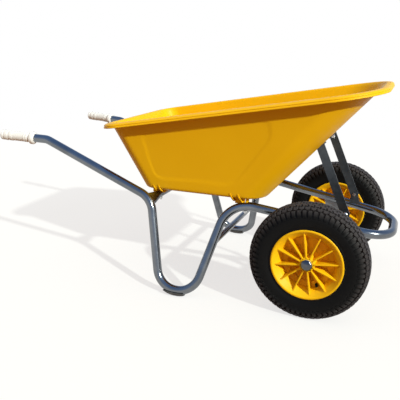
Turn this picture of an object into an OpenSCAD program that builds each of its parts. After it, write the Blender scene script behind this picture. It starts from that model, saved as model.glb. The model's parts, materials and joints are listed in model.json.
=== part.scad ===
// Two wheel wheelbarrow: a moulded tray bolted to a bent tube frame on two pneumatic wheels.
// +X points forward, +Y to the left, +Z up, and the ground is at Z = 0.
// Places along X are measured from the axle, and from_axle() moves them to the model's own origin.
// Pieces are drawn on the right side, and mirrored for the left side.

/* [Frame tube] */
// Outer diameter of the frame tube
tube_od = 32; // [28:1:36]
// Wall of the frame tube
tube_wall = 2; // [1.5:0.5:3]
// Grip ends, distance behind the axle
grip_back = 1238; // [1180:1:1320]
// Grip ends, distance from the middle
grip_half = 305; // [270:1:340]
// Grip ends, height
grip_z = 529; // [480:1:620]
// Handle bend, distance behind the axle
handle_bend_back = 1047; // [980:1:1070]
// Handle bend, distance from the middle
handle_bend_half = 278; // [250:1:310]
// Handle bend, height
handle_bend_z = 519; // [450:1:600]
// Handle bend, radius
handle_bend_r = 60; // [40:1:120]
// Top of the rear arm of the leg, distance behind the axle
leg_top_back = 600; // [560:1:640]
// Top of the rear arm of the leg, distance from the middle
leg_top_half = 282; // [260:1:310]
// Top of the rear arm of the leg, height
leg_top_z = 335; // [310:1:370]
// Top of the rear arm of the leg, bend radius
leg_top_r = 85; // [60:1:110]
// Foot, rear corner, distance behind the axle
foot_rear_back = 538; // [510:1:570]
// Foot, front corner, distance behind the axle
foot_front_back = 403; // [380:1:430]
// Feet, distance from the middle
foot_half = 352; // [320:1:370]
// Foot, bend radius
foot_r = 80; // [50:1:90]
// Top of the front arm of the leg, distance behind the axle
leg_front_back = 323; // [300:1:350]
// Top of the front arm of the leg, distance from the middle
leg_front_half = 202; // [190:1:215]
// Top of the front arm of the leg, height
leg_front_z = 334; // [310:1:345]
// Top of the front arm of the leg, bend radius
leg_front_r = 106; // [80:1:120]
// Front bow, distance ahead of the axle
bow_reach = 246; // [215:1:300]
// Front bow, distance of its corners from the middle
bow_half = 134; // [125:1:150]
// Front bow, height
bow_z = 246; // [240:1:270]
// Front bow, bend radius
bow_r = 112; // [70:1:125]

/* [Frame pieces] */
// Outer diameter of the rear cross tube
cross_od = 28; // [22:1:30]
// Width of the rear cross tube's flattened ends
cross_flat_w = 50; // [44:1:54]
// Thickness of the rear cross tube's flattened ends
cross_flat_t = 14; // [12:1:20]
// Outer diameter of the leg cross bar
leg_bar_od = 22; // [14:1:26]
// Height of the leg cross bar
leg_bar_z = 188; // [150:1:230]
// Wall of the two cross pieces
cross_wall = 2; // [1.5:0.5:3]
// Thickness of a foot shoe
shoe_t = 5; // [3:0.5:8]
// Depth of the flat that a shoe stands on
shoe_flat = 1; // [0.5:0.1:2]
// Length of a foot shoe
shoe_len = 82; // [60:1:100]
// Height of a foot shoe's edges above the ground
shoe_h = 16; // [10:1:18]
// Length of a grip
grip_len = 143; // [110:1:160]
// Wall of a grip between its ribs
grip_wall = 2.5; // [2:0.5:4]
// Thickness of a grip's closed end
grip_cap = 5; // [3:1:8]
// Ribs on a grip
grip_ribs = 10; // [4:1:12]
// Height of a grip's ribs
grip_rib_h = 1; // [0.5:0.1:1.5]
// Length of a grip's collar
collar_len = 16; // [10:1:24]
// Height of a grip's collar
collar_h = 5.5; // [3:0.5:8]

/* [Tray] */
// Rear edge of the lip, distance behind the axle
tray_back = 826; // [800:1:880]
// Front edge of the lip, distance ahead of the axle
tray_reach = 193; // [170:1:240]
// Edge of the lip, distance from the middle
tray_half = 294; // [280:1:310]
// Depth of the tray at the rear edge
tray_rear_depth = 236; // [210:1:260]
// Depth of the tray at the front edge
tray_front_depth = 410; // [390:1:450]
// Corner radius of the lip at the rear
rim_rear_r = 95; // [75:1:150]
// Corner radius of the lip at the front
rim_front_r = 175; // [130:1:185]
// Rear edge of the floor, distance behind the axle
floor_back = 673; // [660:1:700]
// Front edge of the floor, distance behind the axle
floor_front_back = 190; // [170:1:205]
// Edge of the floor, distance from the middle
floor_half = 222; // [218:1:230]
// Corner radius of the floor at the rear
floor_rear_r = 52; // [30:1:80]
// Corner radius of the floor at the front
floor_front_r = 84; // [60:1:90]
// Radius between floor and walls
floor_edge_r = 14; // [10:1:18]
// Wall of the tray
tray_wall = 4.5; // [3:0.5:6]
// Width of the lip along the sides
lip_w = 35; // [30:1:45]
// Width of the lip at the front
lip_front_w = 25; // [20:1:40]
// Width of the lip at the rear
lip_rear_w = 30; // [20:1:40]
// Height of the lip
lip_h = 17; // [15:1:28]
// Height of the rear bosses over the cross tube
rear_boss_h = 10; // [3:1:16]
// Length of a boss
boss_len = 52; // [48:1:70]
// Width of a boss
boss_w = 30; // [26:1:34]
// Rear tray bolts, distance from the middle
rear_bolt_half = 184; // [150:1:186]
// Place of the front tray bolts along the bend, in parts of the bend
front_bolt_share = 0.8; // [0.75:0.01:0.85]

/* [Struts] */
// Width of a strut
strut_w = 30; // [24:1:34]
// Thickness of struts and lugs
strut_t = 5; // [4:0.5:6]
// Height of the strut tops over the tray's floor
strut_rise = 200; // [150:1:230]
// Strut bolts on the lugs, distance ahead of the axle
strut_reach = 86; // [70:1:110]
// Height of the lug bolts over the rail's middle
lug_h = 46; // [42:1:65]
// Length of a lug along the rail
lug_len = 46; // [40:1:75]
// Distance of a lug inside the rail's middle
lug_inset = 12; // [10:0.5:13]
// Width of a strut's tab along the tray's front wall
tab_w = 36; // [30:1:44]

/* [Wheels] */
// Distance between the middles of the tyres
track = 641; // [600:1:680]
// Outer radius of a tyre
tyre_r = 200; // [190:1:210]
// Half of the width of a tyre
tyre_half = 46.5; // [44:0.5:50]
// Thickness of a tyre's wall
tyre_wall = 7.5; // [5:0.5:9]
// Half of the width of the tread
tread_half = 33; // [28:1:36]
// Radius of the seat of the tyre on the rim
bead_r = 102; // [98:1:106]
// Outer radius of the rim's flange
flange_r = 121; // [117:1:124]
// Half of the width of the rim over its flanges
rim_half = 44; // [42:0.5:46]
// Wall of the rim
rim_wall = 5; // [4:0.5:6]
// Half of the thickness of the rim's web
web_half = 3; // [2:0.5:5]
// Ribs on each face of the web
rim_ribs = 12; // [6:1:16]
// Thickness of a rim rib
rim_rib_t = 5; // [3:0.5:6]
// Radius of the hub
hub_r = 25; // [22:0.5:30]
// Half of the length of the hub
hub_half = 38; // [34:0.5:42]
// Radius of a valve stem
valve_r = 4; // [3:0.5:5]
// Place of a valve on the rim, from the front, in degrees
valve_turn = -75; // [-75:30:255]
// Distance of a valve outside the middle of the wheel
valve_side = 12.5; // [12:0.5:14]
// Turn of the wheels as they stand, in degrees
wheel_turn = 8; // [0:1:30]

/* [Axle] */
// Radius of the axle
axle_r = 10; // [8:0.5:12]
// Radius of the bushes
bush_r = 14; // [13:0.5:16]
// Length of a bush in the hub
bush_len = 26; // [15:1:32]
// Radius of a bush's flange
bush_flange_r = 18; // [17:0.5:20]
// Thickness of a bush's flange
bush_flange_t = 3; // [2:0.5:4]
// Outer radius of the washers and spacers
spacer_r = 14; // [13:0.5:17]
// Thickness of an axle washer
axle_washer_t = 2; // [1.5:0.5:3]
// Radius of a hub cap
cap_r = 19.5; // [17:0.5:23]
// Height of a hub cap
cap_h = 10; // [8:0.5:14]
// Sheet of a hub cap
cap_t = 1.2; // [0.8:0.1:1.6]
// Length of the axle's ends inside the caps
axle_end = 4; // [2:0.5:4.5]
// Thickness of an axle bracket
bracket_t = 6; // [4:0.5:8]
// Length of an axle bracket along the rail
bracket_len = 70; // [50:1:80]
// Radius of an axle bracket around the axle
bracket_r = 22; // [18:0.5:26]

/* [Fasteners] */
// Radius of the bolts
bolt_r = 4; // [3:0.5:5]
// Radius of a bolt head
head_r = 8.5; // [7:0.5:9]
// Height of a bolt head
head_h = 4; // [3:0.5:5]
// Radius of a nut over its corners
nut_r = 7.5; // [6.5:0.5:8.5]
// Height of a nut
nut_h = 6.5; // [5:0.5:8]
// Radius of a bolt washer
washer_r = 10; // [9.5:0.5:11]
// Thickness of a bolt washer
washer_t = 1.6; // [1:0.2:2.4]
// Length of a bolt past its nut
bolt_over = 4; // [2:1:8]

/* [Fits] */
// Gap between pieces that are welded, pushed on or seated
seat_gap = 0.1; // [0.05:0.01:0.2]
// Gap of a bolt in its hole
bolt_gap = 0.3; // [0.2:0.1:0.6]
// Gap of the bushes on the axle
run_gap = 0.05; // [0.02:0.01:0.1]
// Gap of the wheels along the axle
side_gap = 0.4; // [0.3:0.1:1]

/* [Hidden] */
$fn = 48;
corner_steps = 8;
tube_r = tube_od / 2;
lap = tube_od / 64;
ease = tube_od / 128;
cross_r = cross_od / 2;
leg_bar_r = leg_bar_od / 2;
nut_bore = bolt_r + seat_gap;
hole_r = bolt_r + bolt_gap;

// Frame path of the right side, from the grip's end to the middle of the bow.
foot_z = tube_r + shoe_t - shoe_flat;
path = [
    [-grip_back, -grip_half, grip_z],
    [-handle_bend_back, -handle_bend_half, handle_bend_z],
    [-leg_top_back, -leg_top_half, leg_top_z],
    [-foot_rear_back, -foot_half, foot_z],
    [-foot_front_back, -foot_half, foot_z],
    [-leg_front_back, -leg_front_half, leg_front_z],
    [bow_reach, -bow_half, bow_z],
    [bow_reach, 0, bow_z]
];
bend_r = [0, handle_bend_r, leg_top_r, foot_r, foot_r, leg_front_r, bow_r, 0];
LEG_TOP = 2;
FOOT_REAR = 3;
FOOT_FRONT = 4;
LEG_FRONT = 5;
BOW = 6;
last = len(path) - 1;

function unit(v) = v / norm(v);
function mix(a, b, t) = a + (b - a) * t;
function dir_in(i) = unit(path[i] - path[i - 1]);
function dir_out(i) = unit(path[i + 1] - path[i]);
function turn(i) = acos(dir_in(i) * dir_out(i));
function run_len(i) = norm(path[i + 1] - path[i]);
// Two bends share an inner run, and an end run has one bend. A bend's radius is limited by its runs.
function run_share(i) = (i == 0 || i == last - 1) ? 0.98 : 0.495;
function radius(i) = min(bend_r[i],
    min(run_share(i - 1) * run_len(i - 1), run_share(i) * run_len(i)) / tan(turn(i) / 2));
function tangent(i) = (i == 0 || i == last) ? 0 : radius(i) * tan(turn(i) / 2);
function bend_from(i) = i == last ? path[i] : path[i] - dir_in(i) * tangent(i);
function bend_to(i) = i == 0 ? path[i] : path[i] + dir_out(i) * tangent(i);
function bend_axis(i) = unit(cross(dir_in(i), dir_out(i)));
function bend_side(i) = cross(bend_axis(i), dir_in(i));
function bend_centre(i) = bend_from(i) + bend_side(i) * radius(i);
function bend_point(i, a) = bend_centre(i) + (dir_in(i) * sin(a) - bend_side(i) * cos(a)) * radius(i);
function bend_dir(i, a) = bend_side(i) * sin(a) + dir_in(i) * cos(a);
// Point of a straight run at a place along X, or at a height.
function run_at_x(i, x) = mix(path[i], path[i + 1], (x - path[i].x) / (path[i + 1].x - path[i].x));
function run_at_z(i, z) = mix(path[i], path[i + 1], (z - path[i].z) / (path[i + 1].z - path[i].z));
function rail_at(x) = run_at_x(LEG_FRONT, x);
function square_to(v) = unit(cross(abs(v.z) < 0.9 ? [0, 0, 1] : [1, 0, 0], v));

// The origin lies under the middle of the whole length.
grip_out_r = tube_r + seat_gap + grip_wall;
grip_edge = 4;
grip_tail = (grip_out_r - grip_edge) * sqrt(1 - pow(dir_out(0).x, 2));
axle_x = (grip_back + grip_tail - bow_reach - tube_r) / 2;
axle_z = tyre_r;

// Tray levels and wall lines, in the plane Y = 0.
cross_seat = bend_point(LEG_TOP, turn(LEG_TOP) / 2);
floor_z = cross_seat.z + cross_r + rear_boss_h;
floor_top_z = floor_z + tray_wall;
rim_rear_z = floor_z + tray_rear_depth;
rim_front_z = floor_z + tray_front_depth;
rim_tilt = atan2(rim_front_z - rim_rear_z, tray_back + tray_reach);
rim_len = norm([tray_back + tray_reach, rim_front_z - rim_rear_z]);
function rim_point(x) = [-tray_back + x * cos(rim_tilt), rim_rear_z + x * sin(rim_tilt)];
// Slope of a wall that runs down from a rim point and touches the round edge of the floor.
function wall_angle(d) = atan2(d[1], d[0]) + asin(floor_edge_r / norm(d));
front_top = rim_point(rim_len - lip_front_w);
rear_top = rim_point(lip_rear_w);
edge_z = floor_z + floor_edge_r;
front_angle = wall_angle([front_top[0] + floor_front_back + floor_edge_r, front_top[1] - edge_z]);
rear_angle = wall_angle([-rear_top[0] - floor_back + floor_edge_r, rear_top[1] - edge_z]);
side_angle = wall_angle([tray_half - lip_w - floor_half + floor_edge_r,
    (front_top[1] + rear_top[1]) / 2 - edge_z]);
function front_wall_x(z) = front_top[0] - (front_top[1] - z) / tan(front_angle);

// Strut and lug places.
lug_point = rail_at(strut_reach);
lug_y = lug_point.y + lug_inset;
lug_bolt = [strut_reach, lug_point.z + lug_h];
strut_out_y = lug_y + strut_t / 2;
strut_top_z = floor_z + strut_rise;
strut_top = [front_wall_x(strut_top_z), strut_top_z];
strut_dir = unit(strut_top - lug_bolt);
strut_side = [strut_dir[1], -strut_dir[0]];
wall_out = [sin(front_angle), -cos(front_angle)];
tab_bolt_y = strut_out_y + strut_t + tab_w / 2;
function strut_edge(s) = let (e = lug_bolt + strut_side * (s * strut_w / 2))
    e + strut_dir * ((seat_gap - (e - strut_top) * wall_out) / (strut_dir * wall_out));

// Front tray bolts, through the top of the leg's front bend.
front_bolt_turn = turn(LEG_FRONT) * front_bolt_share;
front_seat = bend_point(LEG_FRONT, front_bolt_turn);
front_seat_slope = bend_dir(LEG_FRONT, front_bolt_turn).z;
front_nut_z = front_seat.z - seat_gap
    - (tube_r + nut_r * abs(front_seat_slope)) / sqrt(1 - pow(front_seat_slope, 2));
rear_nut_z = cross_seat.z - cross_r - seat_gap;

// Places along the axle, measured from the middle of a wheel.
bush_end = hub_half + bush_flange_t;
washer_in = bush_end + side_gap;
washer_out = washer_in + axle_washer_t;
wheel_y = track / 2;
bracket_y = rail_at(0).y;
barrel_r = bead_r - 0.9 * rim_wall;
well_depth = 8;
well_r = bead_r - well_depth;
well_half = 16;
bead_inset = 16;
bead_half = rim_half - bead_inset;
bead_in = 20.5;
step_r = 68;
valve_in_r = 84;
step_h = 4;
step_half = web_half + step_h;
// The tyre's crown rises in a half circle from its widest place, or flatter where the tyre is low.
tyre_rise = min(tyre_half, 0.48 * (tyre_r - bead_r));
tyre_mid_r = tyre_r - tyre_rise;
// Its side wall curves in to a little over the rim's flange, at this angle below its widest place.
// Where the tyre is tall, the curve ends sooner and a straight wall goes down to the flange.
shoulder_turn = 40;
curve_end = -34;
flange_room = 9.25;
tyre_low = asin(max(sin(curve_end), (flange_r + flange_room - tyre_mid_r) / tyre_rise));

module from_axle() {
    translate([axle_x, 0, 0]) children();
}

module left() {
    mirror([0, 1, 0]) children();
}

module both_sides() {
    children();
    mirror([0, 1, 0]) children();
}

// Children in a frame with the given origin and axes.
module placed(o, ex, ey, ez) {
    multmatrix([
        [ex.x, ey.x, ez.x, o.x],
        [ex.y, ey.y, ez.y, o.y],
        [ex.z, ey.z, ez.z, o.z],
        [0, 0, 0, 1]
    ]) children();
}

// Children with +Z along the line from a to b, from a.
module along(a, b) {
    ez = unit(b - a);
    ex = square_to(ez);
    placed(a, ex, cross(ez, ex), ez) children();
}

module ring(ro, ri) {
    difference() {
        circle(ro);
        if (ri > 0) circle(ri);
    }
}

module straight(a, b, ro, ri = 0) {
    along(a, b) linear_extrude(norm(b - a)) ring(ro, ri);
}

// A straight run of the path. It enters the bends at its ends by a lap, a hair inside their faces.
module run(i, ro, ri = 0, start = -lap, end = lap) {
    straight(bend_to(i) + dir_out(i) * start, bend_from(i + 1) + dir_out(i) * end,
        ro - ease, ri > 0 ? ri + ease : 0);
}

module bend(i, ro, ri = 0) {
    placed(bend_centre(i), -bend_side(i), dir_in(i), bend_axis(i))
        rotate_extrude(angle = turn(i)) translate([radius(i), 0]) ring(ro, ri);
}

// The path's bends from one corner to another, with the straight runs between them.
module pipe(first, final, ro, ri = 0) {
    for (i = [first : final]) bend(i, ro, ri);
    for (i = [first : 1 : final - 1]) run(i, ro, ri);
}

// A plate in the XZ plane, centred on y.
module plate(y, t) {
    translate([0, y + t / 2, 0]) rotate([90, 0, 0]) linear_extrude(t) children();
}

// Children on the tray's front wall at the strut's top: +X up the wall, +Z out of the tray.
module on_front_wall() {
    placed([strut_top[0], 0, strut_top[1]],
        [cos(front_angle), 0, sin(front_angle)], [0, -1, 0],
        [wall_out[0], 0, wall_out[1]]) children();
}

// Children on the rim's plane: +X along the middle from the rear edge, +Z out of the tray.
module on_rim() {
    translate([-tray_back, 0, rim_rear_z]) rotate([0, -rim_tilt, 0]) children();
}

// Wheel frame of the right side: +Z points outboard.
module on_wheel() {
    translate([0, -wheel_y, axle_z]) rotate([90, 0, 0]) rotate(wheel_turn) children();
}

// A bolt with its head's seat at Z = 0 and its shank along -Z.
module bolt(length) {
    translate([0, 0, -length]) cylinder(r = bolt_r, h = length);
    dome_r = (head_r * head_r + head_h * head_h) / (2 * head_h);
    rotate_extrude() intersection() {
        translate([0, head_h - dome_r]) circle(dome_r);
        square([head_r, head_h]);
    }
}

// A nut below Z = 0.
module nut() {
    translate([0, 0, -nut_h]) difference() {
        cylinder(r = nut_r, h = nut_h, $fn = 6);
        translate([0, 0, -1]) cylinder(r = nut_bore, h = nut_h + 2);
    }
}

// A washer above Z = 0.
module washer(ro, ri, t) {
    linear_extrude(t) ring(ro, ri);
}

module right_tube_path() {
    ri = tube_r - tube_wall;
    run(0, tube_r, ri, start = grip_cap + seat_gap);
    pipe(1, BOW, tube_r, ri);
    run(BOW, tube_r, ri, end = 0);
}

module right_frame_tube() {
    color("silver") difference() {
        right_tube_path();
        translate([front_seat.x, front_seat.y, front_seat.z - 2 * tube_od])
            cylinder(r = hole_r, h = 4 * tube_od);
    }
}

// From the round tube beside the tray's boss to a flat end on the bend, wide along the bend.
module cross_end(r, flat_r, over) {
    flare_y = -rear_bolt_half - boss_w / 2 - 4;
    way = bend_dir(LEG_TOP, turn(LEG_TOP) / 2);
    wide = unit([way.x, 0, way.z]) * (cross_flat_w - cross_flat_t) / 2;
    hull() {
        straight([cross_seat.x, flare_y, cross_seat.z], [cross_seat.x, flare_y + lap + over, cross_seat.z], r);
        for (s = [-1, 1]) straight(cross_seat + s * wide - [0, over, 0],
            [cross_seat.x, cross_seat.y + tube_r, cross_seat.z] + s * wide, flat_r);
    }
}

module rear_cross_tube() {
    ri = cross_r - cross_wall;
    half = rear_bolt_half + boss_w / 2 + 4;
    flat_r = cross_flat_t / 2;
    color("silver") difference() {
        union() {
            straight([cross_seat.x, -half, cross_seat.z], [cross_seat.x, half, cross_seat.z], cross_r, ri);
            both_sides() difference() {
                cross_end(cross_r - ease, flat_r, 0);
                cross_end(ri + ease, flat_r - cross_wall, 1);
            }
        }
        both_sides() bend(LEG_TOP, tube_r + seat_gap);
        both_sides() translate([cross_seat.x, -rear_bolt_half, cross_seat.z - cross_od])
            cylinder(r = hole_r, h = 2 * cross_od);
    }
}

module leg_cross_bar() {
    end = run_at_z(FOOT_FRONT, leg_bar_z);
    color("silver") difference() {
        straight(end, [end.x, -end.y, end.z], leg_bar_r, leg_bar_r - cross_wall);
        both_sides() straight(path[FOOT_FRONT], path[LEG_FRONT], tube_r + seat_gap);
    }
}

// A crescent under the foot, cut off at its length, its top edges and the ground.
module right_foot_shoe() {
    ri = tube_r + seat_gap;
    mid_x = (bend_to(FOOT_REAR).x + bend_from(FOOT_FRONT).x) / 2;
    color("dimgray") intersection() {
        pipe(FOOT_REAR, FOOT_FRONT, ri + shoe_t - seat_gap, ri);
        translate([mid_x - shoe_len * 0.6, -foot_half - tube_od, 0]) cube([shoe_len, 2 * tube_od, shoe_h]);
    }
}

module grip_profile() {
    rib_from = 12;
    rib_pitch = (grip_len - collar_len - rib_from) / grip_ribs;
    rib_r = grip_out_r + grip_rib_h;
    ribs = [for (i = [0 : grip_ribs - 1], k = [0 : 3])
        [k == 1 || k == 2 ? rib_r : grip_out_r, rib_from + (i + [0.25, 0.4, 0.75, 0.9][k]) * rib_pitch]];
    collar_r = grip_out_r + collar_h;
    polygon(concat(
        [[0, 0], [grip_out_r - grip_edge, 0], [grip_out_r, grip_edge], [grip_out_r, rib_from]],
        ribs,
        [
            [grip_out_r, grip_len - collar_len],
            [collar_r, grip_len - collar_len + collar_h],
            [collar_r, grip_len - collar_h],
            [grip_out_r, grip_len],
            [tube_r + seat_gap, grip_len],
            [tube_r + seat_gap, grip_cap],
            [0, grip_cap]
        ]));
}

module right_grip() {
    color("white") along(path[0], path[1]) rotate_extrude() grip_profile();
}

// The tray's skin is a stack of closed rings, each with the same points around the outline.
around = [for (q = [0 : 3], k = [0 : corner_steps]) 90 * q + 90 * k / corner_steps];
function quarter(j) = floor(j / (corner_steps + 1));

// Point j of an outline with rounded corners, pulled in by inset along its normal.
function outline_point(j, x0, x1, half, rr, rf, inset) =
    let (q = quarter(j), th = around[j], front = q == 0 || q == 3, r = front ? rf : rr)
    [(front ? x1 - rf : x0 + rr) + (r - inset) * cos(th),
        (q < 2 ? half - r : r - half) + (r - inset) * sin(th)];

// Slope of the wall at point j: front and rear walls lean more than the sides.
function wall_slope(j) = let (q = quarter(j), c = pow(cos(around[j]), 2))
    c * (q == 0 || q == 3 ? front_angle : rear_angle) + (1 - c) * side_angle;

// Ring on the round edge of the floor: r is the edge's radius, part runs from the floor to the wall.
function floor_ring(r, part) = [for (j = [0 : len(around) - 1])
    let (a = part * wall_slope(j),
        p = outline_point(j, -floor_back, -floor_front_back, floor_half, floor_rear_r, floor_front_r,
            floor_edge_r - r * sin(a)))
    [p[0], p[1], floor_z + floor_edge_r - r * cos(a)]];

// Ring parallel to the rim, inside the lip's edge and above the rim's plane by z.
function rim_ring(rear_in, side_in, front_in, z) = [for (j = [0 : len(around) - 1])
    let (p = outline_point(j, rear_in, rim_len - front_in, tray_half - side_in,
        max(rim_rear_r - side_in, 1), max(rim_front_r - side_in, 1), 0))
    [p[0] * cos(rim_tilt) - z * sin(rim_tilt) - tray_back, p[1],
        rim_rear_z + p[0] * sin(rim_tilt) + z * cos(rim_tilt)]];
// Ring of the lip: part runs from its edge to the wall, and the ring lies in from there by wall.
function lip_ring(part, wall, z) =
    rim_ring(part * lip_rear_w + wall, part * lip_w + wall, part * lip_front_w + wall, z);

// The rolled lip: parts of its width and height, from its top to its lower edge.
lip_roll = [[0.75, 0], [0.4, 0.06], [0.15, 0.25], [0.02, 0.55], [0, 1]];
floor_parts = [0, 1 / 3, 2 / 3, 1];
tray_rings = concat(
    [for (t = floor_parts) floor_ring(floor_edge_r - tray_wall, t)],
    [rim_ring(lip_rear_w + tray_wall / sin(rear_angle + rim_tilt), lip_w + tray_wall / sin(side_angle),
        lip_front_w + tray_wall / sin(front_angle - rim_tilt), 0)],
    [for (p = lip_roll) lip_ring(p[0], 0, -p[1] * lip_h)],
    [for (i = [len(lip_roll) - 1 : -1 : 0])
        lip_ring(lip_roll[i][0], tray_wall, -min(lip_roll[i][1] * lip_h + tray_wall, lip_h))],
    [rim_ring(lip_rear_w + tray_wall / tan(rear_angle + rim_tilt), lip_w + tray_wall / tan(side_angle),
        lip_front_w + tray_wall / tan(front_angle - rim_tilt), -tray_wall)],
    [for (i = [len(floor_parts) - 1 : -1 : 0]) floor_ring(floor_edge_r, floor_parts[i])]);

module tray_skin() {
    n = len(around);
    m = len(tray_rings);
    polyhedron(
        points = [for (ring_points = tray_rings) each ring_points],
        faces = concat(
            [[for (j = [n - 1 : -1 : 0]) j]],
            [for (i = [0 : m - 2], j = [0 : n - 1]) let (k = (j + 1) % n) each [
                [i * n + j, i * n + k, (i + 1) * n + k],
                [i * n + j, (i + 1) * n + k, (i + 1) * n + j]
            ]],
            [[for (j = [0 : n - 1]) (m - 1) * n + j]]));
}

// Saddle blocks under the floor, before the tubes are cut out of them. A block over a tube
// that lies outside the flat floor reaches in to it.
module boss(seat, r, back) {
    low = seat.z + r / 2;
    outer = seat.y - boss_w / 2;
    inner = max(seat.y + boss_w / 2, floor_edge_r + boss_w / 2 - floor_half);
    translate([seat.x - back, outer, low])
        cube([boss_len, inner - outer, floor_top_z - seat_gap - low]);
}

module tray() {
    color("gold") difference() {
        union() {
            tray_skin();
            both_sides() {
                boss([cross_seat.x, -rear_bolt_half, cross_seat.z], cross_r, boss_len / 2);
                boss(front_seat, tube_r, boss_len * 0.8);
            }
        }
        straight(cross_seat, [cross_seat.x, -cross_seat.y, cross_seat.z], cross_r + seat_gap);
        both_sides() {
            bend(LEG_FRONT, tube_r + seat_gap);
            at_tray_bolts() translate([0, 0, -2 * tube_od]) cylinder(r = hole_r, h = 4 * tube_od);
            on_front_wall() translate([0, -tab_bolt_y, -4 * tray_wall]) cylinder(r = hole_r, h = 8 * tray_wall);
        }
    }
}

// Children at the floor's top, over the two tray bolts of the right side.
module at_tray_bolts() {
    translate([cross_seat.x, -rear_bolt_half, floor_top_z]) children();
    translate([front_seat.x, front_seat.y, floor_top_z]) children();
}

module tray_washers() {
    color("silver") both_sides() at_tray_bolts() washer(washer_r, hole_r, washer_t);
}

module tray_bolts() {
    top = floor_top_z + washer_t;
    color("silver") both_sides() {
        translate([cross_seat.x, -rear_bolt_half, top]) bolt(top - rear_nut_z + nut_h + bolt_over);
        translate([front_seat.x, front_seat.y, top]) bolt(top - front_nut_z + nut_h + bolt_over);
    }
}

module tray_nuts() {
    color("silver") both_sides() {
        translate([cross_seat.x, -rear_bolt_half, rear_nut_z]) nut();
        translate([front_seat.x, front_seat.y, front_nut_z]) nut();
    }
}

// A flat bar on the lug's inner side, with a tab bent along the tray's front wall.
module right_strut() {
    in_y = strut_out_y + strut_t;
    color("gray") difference() {
        union() {
            plate(strut_out_y + strut_t / 2, strut_t) {
                translate(lug_bolt) circle(strut_w / 2);
                polygon([lug_bolt + strut_side * strut_w / 2, strut_edge(1),
                    strut_edge(-1), lug_bolt - strut_side * strut_w / 2]);
            }
            on_front_wall() translate([-strut_w / 2, -in_y - tab_w, seat_gap])
                cube([strut_w, tab_w + strut_t, strut_t]);
        }
        on_front_wall() translate([0, -tab_bolt_y, -strut_t]) cylinder(r = hole_r, h = 3 * strut_t);
        translate([lug_bolt[0], strut_out_y - strut_t, lug_bolt[1]]) rotate([-90, 0, 0])
            cylinder(r = hole_r, h = 3 * strut_t);
    }
}

module right_strut_lug() {
    x0 = strut_reach - lug_len * 0.4;
    x1 = strut_reach + lug_len * 0.6;
    r = strut_w / 2;
    color("gray") difference() {
        plate(lug_y, strut_t) {
            translate(lug_bolt) circle(r);
            polygon([[x0, rail_at(x0).z], [x1, rail_at(x1).z], lug_bolt + [r * 0.8, 0], lug_bolt - [r * 0.8, 0]]);
        }
        straight(rail_at(x0 - tube_od), rail_at(x1 + tube_od), tube_r + seat_gap);
        translate([lug_bolt[0], lug_y - strut_t, lug_bolt[1]]) rotate([-90, 0, 0])
            cylinder(r = hole_r, h = 2 * strut_t);
    }
}

// Strut bolts through the tray's wall, with their heads in the tray.
module on_tab_bolt(z) {
    on_front_wall() translate([0, -tab_bolt_y, z]) children();
}

module strut_top_washers() {
    color("silver") both_sides() on_tab_bolt(-tray_wall - washer_t - seat_gap)
        washer(washer_r, hole_r, washer_t);
}

module strut_top_bolts() {
    head = tray_wall + washer_t + seat_gap;
    color("silver") both_sides() on_tab_bolt(-head) rotate([180, 0, 0])
        bolt(head + seat_gap + strut_t + nut_h + bolt_over);
}

module strut_top_nuts() {
    color("silver") both_sides() on_tab_bolt(strut_t + seat_gap) rotate([180, 0, 0]) nut();
}

// Strut bolts through the lugs, with their heads outside.
module on_lug_bolt(y) {
    translate([lug_bolt[0], y, lug_bolt[1]]) rotate([90, 0, 0]) children();
}

module strut_lug_bolts() {
    color("silver") both_sides() on_lug_bolt(lug_y - strut_t / 2)
        bolt(2 * strut_t + nut_h + bolt_over);
}

module strut_lug_nuts() {
    color("silver") both_sides() on_lug_bolt(strut_out_y + strut_t) nut();
}

module axle() {
    half = wheel_y + washer_out + cap_t + axle_end;
    color("silver") translate([0, half, axle_z]) rotate([90, 0, 0]) cylinder(r = axle_r, h = 2 * half);
}

module right_axle_bracket() {
    x0 = -bracket_len / 2;
    x1 = bracket_len / 2;
    r = bracket_r * 0.8;
    color("silver") difference() {
        plate(bracket_y, bracket_t) {
            translate([0, axle_z]) circle(bracket_r);
            polygon([[-r, axle_z], [r, axle_z], [x1, rail_at(x1).z], [x0, rail_at(x0).z]]);
        }
        straight(rail_at(x0 - tube_od), rail_at(x1 + tube_od), tube_r + seat_gap);
        translate([0, bracket_y - bracket_t, axle_z]) rotate([-90, 0, 0])
            cylinder(r = axle_r + seat_gap, h = 2 * bracket_t);
    }
}

module axle_spacers() {
    from_y = bracket_y - bracket_t / 2;
    to_y = washer_out - wheel_y;
    color("silver") both_sides() translate([0, from_y, axle_z]) rotate([90, 0, 0])
        washer(spacer_r, axle_r + seat_gap, from_y - to_y);
}

module axle_washers() {
    color("silver") both_sides() on_wheel() {
        translate([0, 0, washer_in]) washer(spacer_r + 2, axle_r + seat_gap, axle_washer_t);
        translate([0, 0, -washer_out]) washer(spacer_r + 2, axle_r + seat_gap, axle_washer_t);
    }
}

// A domed sheet cap pushed on the axle's end.
module right_hub_cap() {
    dome_r = (cap_r * cap_r + cap_h * cap_h) / (2 * cap_h);
    color("gainsboro") on_wheel() translate([0, 0, washer_out]) rotate_extrude() difference() {
        intersection() {
            translate([0, cap_h - dome_r]) circle(dome_r);
            square([cap_r, cap_h]);
        }
        intersection() {
            translate([0, cap_h - dome_r]) circle(dome_r - cap_t);
            translate([0, cap_t]) square([cap_r, cap_h]);
        }
        translate([0, -1]) square([axle_r + seat_gap, cap_t + 2]);
    }
}

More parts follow.
